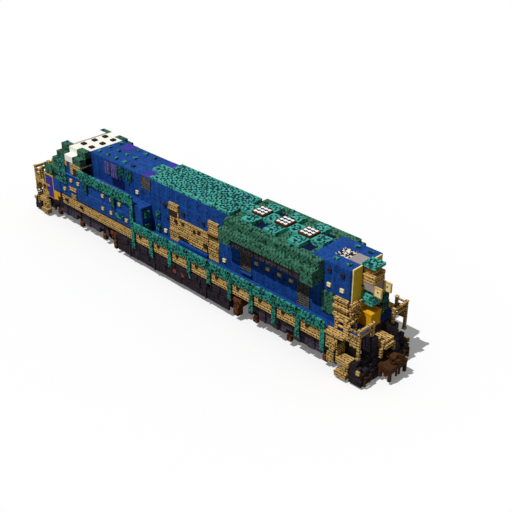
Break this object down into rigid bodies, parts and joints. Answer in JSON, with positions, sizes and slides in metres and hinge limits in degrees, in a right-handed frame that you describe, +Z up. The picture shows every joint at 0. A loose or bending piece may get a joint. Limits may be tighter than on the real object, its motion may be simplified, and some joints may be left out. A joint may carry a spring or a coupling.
{
  "type": "diesel locomotive",
  "caption": "Road diesel locomotive with a long hood, end cab, low nose, radiator flares, roof fans, bogies on flanged wheelsets, knuckle couplers and opening doors, in a blocky form.",
  "frame": {"origin": "centre of the footprint, level with the lowest point of the wheel flanges", "axes": "+X along the vehicle toward the end of the long hood (the nose and cab are toward -X), +Y to the left of someone who faces that end, +Z up"},
  "size_m": [22.75, 3.277, 4.61],
  "materials": {
    "dark_paint": "satin",
    "steel": "rough",
    "tan_boards": "satin",
    "brown_paint": "satin",
    "green_paint": "satin",
    "gold_paint": "satin",
    "blue_paint": "satin",
    "cream_paint": "satin",
    "window_glass": "clear",
    "teal_paint": "satin",
    "fan_guard": "satin",
    "engine_grey": "satin",
    "wheel_steel": "rough",
    "fan_metal": "satin",
    "violet_paint": "satin"
  },
  "bodies": {
    "root": {"main_frame": "dark_paint", "draft_pockets": "dark_paint", "centre_pins": "steel", "sill_planks": "tan_boards", "fuel_tank": "dark_paint", "tank_end_frames": "brown_paint", "nose": "green_paint", "locker_frames": "gold_paint", "cab_body": "blue_paint", "cab_roof": "cream_paint", "cab_windows": "window_glass", "lockers": "blue_paint", "ladder_rungs": "teal_paint", "front_hood": "blue_paint", "engine_hood": "blue_paint", "radiator_hood": "blue_paint", "radiator_flares": "green_paint", "radiator_shutters": "dark_paint", "rear_hood": "blue_paint", "roof_panels": "teal_paint", "fan_housings": "fan_guard", "engine_block": "engine_grey", "intake_panels": "tan_boards", "corner_steps": "tan_boards", "end_railings": "tan_boards", "end_plates": "gold_paint", "rear_light": "tan_boards", "sand_box": "gold_paint", "pilots": "dark_paint", "centre_platforms": "tan_boards", "handrail_left": "teal_paint", "handrail_right": "teal_paint"},
    "bogie_front": {"bogie_frame_front": "dark_paint", "journal_boxes_front": "dark_paint", "traction_motors_front": "dark_paint"},
    "bogie_rear": {"bogie_frame_rear": "dark_paint", "journal_boxes_rear": "dark_paint", "traction_motors_rear": "dark_paint"},
    "wheelset_1": {"wheelset_1": "wheel_steel"},
    "wheelset_2": {"wheelset_2": "wheel_steel"},
    "wheelset_3": {"wheelset_3": "wheel_steel"},
    "wheelset_4": {"wheelset_4": "wheel_steel"},
    "wheelset_5": {"wheelset_5": "wheel_steel"},
    "wheelset_6": {"wheelset_6": "wheel_steel"},
    "fan_1": {"fan_1": "fan_metal"},
    "fan_2": {"fan_2": "fan_metal"},
    "fan_3": {"fan_3": "fan_metal"},
    "coupler_front": {"coupler_front": "brown_paint"},
    "knuckle_front": {"knuckle_front": "brown_paint"},
    "coupler_rear": {"coupler_rear": "brown_paint"},
    "knuckle_rear": {"knuckle_rear": "brown_paint"},
    "nose_door": {"nose_door": "green_paint"},
    "cab_hatch_left": {"cab_hatch_left": "teal_paint"},
    "locker_door_left": {"locker_door_left": "violet_paint"},
    "engine_door_left": {"engine_door_left": "blue_paint"},
    "cab_hatch_right": {"cab_hatch_right": "teal_paint"},
    "locker_door_right": {"locker_door_right": "violet_paint"},
    "engine_door_right": {"engine_door_right": "blue_paint"}
  },
  "joints": [
    {"name": "bogie_front_turn", "type": "hinge", "parent": "root", "child": "bogie_front", "pos_m": [-7, 0, 1.1], "axis": [0, 0, 1], "range_deg": [-4, 4]},
    {"name": "bogie_rear_turn", "type": "hinge", "parent": "root", "child": "bogie_rear", "pos_m": [7, 0, 1.1], "axis": [0, 0, 1], "range_deg": [-4, 4]},
    {"name": "wheelset_1_spin", "type": "hinge", "parent": "bogie_front", "child": "wheelset_1", "pos_m": [-8.875, 0, 0.5615], "axis": [0, 1, 0], "continuous": true},
    {"name": "wheelset_2_spin", "type": "hinge", "parent": "bogie_front", "child": "wheelset_2", "pos_m": [-7, 0, 0.5615], "axis": [0, 1, 0], "continuous": true},
    {"name": "wheelset_3_spin", "type": "hinge", "parent": "bogie_front", "child": "wheelset_3", "pos_m": [-5.125, 0, 0.5615], "axis": [0, 1, 0], "continuous": true},
    {"name": "wheelset_4_spin", "type": "hinge", "parent": "bogie_rear", "child": "wheelset_4", "pos_m": [5.125, 0, 0.5615], "axis": [0, 1, 0], "continuous": true},
    {"name": "wheelset_5_spin", "type": "hinge", "parent": "bogie_rear", "child": "wheelset_5", "pos_m": [7, 0, 0.5615], "axis": [0, 1, 0], "continuous": true},
    {"name": "wheelset_6_spin", "type": "hinge", "parent": "bogie_rear", "child": "wheelset_6", "pos_m": [8.875, 0, 0.5615], "axis": [0, 1, 0], "continuous": true},
    {"name": "fan_1_spin", "type": "hinge", "parent": "root", "child": "fan_1", "pos_m": [4.1875, 0, 4.4], "axis": [0, 0, 1], "continuous": true},
    {"name": "fan_2_spin", "type": "hinge", "parent": "root", "child": "fan_2", "pos_m": [5.4375, 0, 4.4], "axis": [0, 0, 1], "continuous": true},
    {"name": "fan_3_spin", "type": "hinge", "parent": "root", "child": "fan_3", "pos_m": [6.6875, 0, 4.4], "axis": [0, 0, 1], "continuous": true},
    {"name": "coupler_front_swing", "type": "hinge", "parent": "root", "child": "coupler_front", "pos_m": [-9.565, 0, 0.905], "axis": [0, 0, 1], "range_deg": [-7, 7]},
    {"name": "knuckle_front_open", "type": "hinge", "parent": "coupler_front", "child": "knuckle_front", "pos_m": [-11.203, 0.15, 0.905], "axis": [0, 0, -1], "range_deg": [0, 40]},
    {"name": "coupler_rear_swing", "type": "hinge", "parent": "root", "child": "coupler_rear", "pos_m": [9.565, 0, 0.905], "axis": [0, 0, 1], "range_deg": [-7, 7]},
    {"name": "knuckle_rear_open", "type": "hinge", "parent": "coupler_rear", "child": "knuckle_rear", "pos_m": [11.203, -0.15, 0.905], "axis": [0, 0, -1], "range_deg": [0, 40]},
    {"name": "nose_door_open", "type": "hinge", "parent": "root", "child": "nose_door", "pos_m": [-9.516, -0.31, 2.5], "axis": [0, 0, 1], "range_deg": [0, 100]},
    {"name": "cab_hatch_left_open", "type": "hinge", "parent": "root", "child": "cab_hatch_left", "pos_m": [-7.987, 1.5785, 3.1], "axis": [0, 0, 1], "range_deg": [0, 110]},
    {"name": "locker_door_left_open", "type": "hinge", "parent": "root", "child": "locker_door_left", "pos_m": [-9.25, 1.5785, 1.9], "axis": [0, 0, 1], "range_deg": [0, 110]},
    {"name": "engine_door_left_open", "type": "hinge", "parent": "root", "child": "engine_door_left", "pos_m": [-1.12, 0.9535, 2.8], "axis": [0, 0, 1], "range_deg": [0, 100]},
    {"name": "cab_hatch_right_open", "type": "hinge", "parent": "root", "child": "cab_hatch_right", "pos_m": [-7.987, -1.5785, 3.1], "axis": [0, 0, -1], "range_deg": [0, 110]},
    {"name": "locker_door_right_open", "type": "hinge", "parent": "root", "child": "locker_door_right", "pos_m": [-9.25, -1.5785, 1.9], "axis": [0, 0, -1], "range_deg": [0, 110]},
    {"name": "engine_door_right_open", "type": "hinge", "parent": "root", "child": "engine_door_right", "pos_m": [-1.12, -0.9535, 2.8], "axis": [0, 0, -1], "range_deg": [0, 100]}
  ]
}
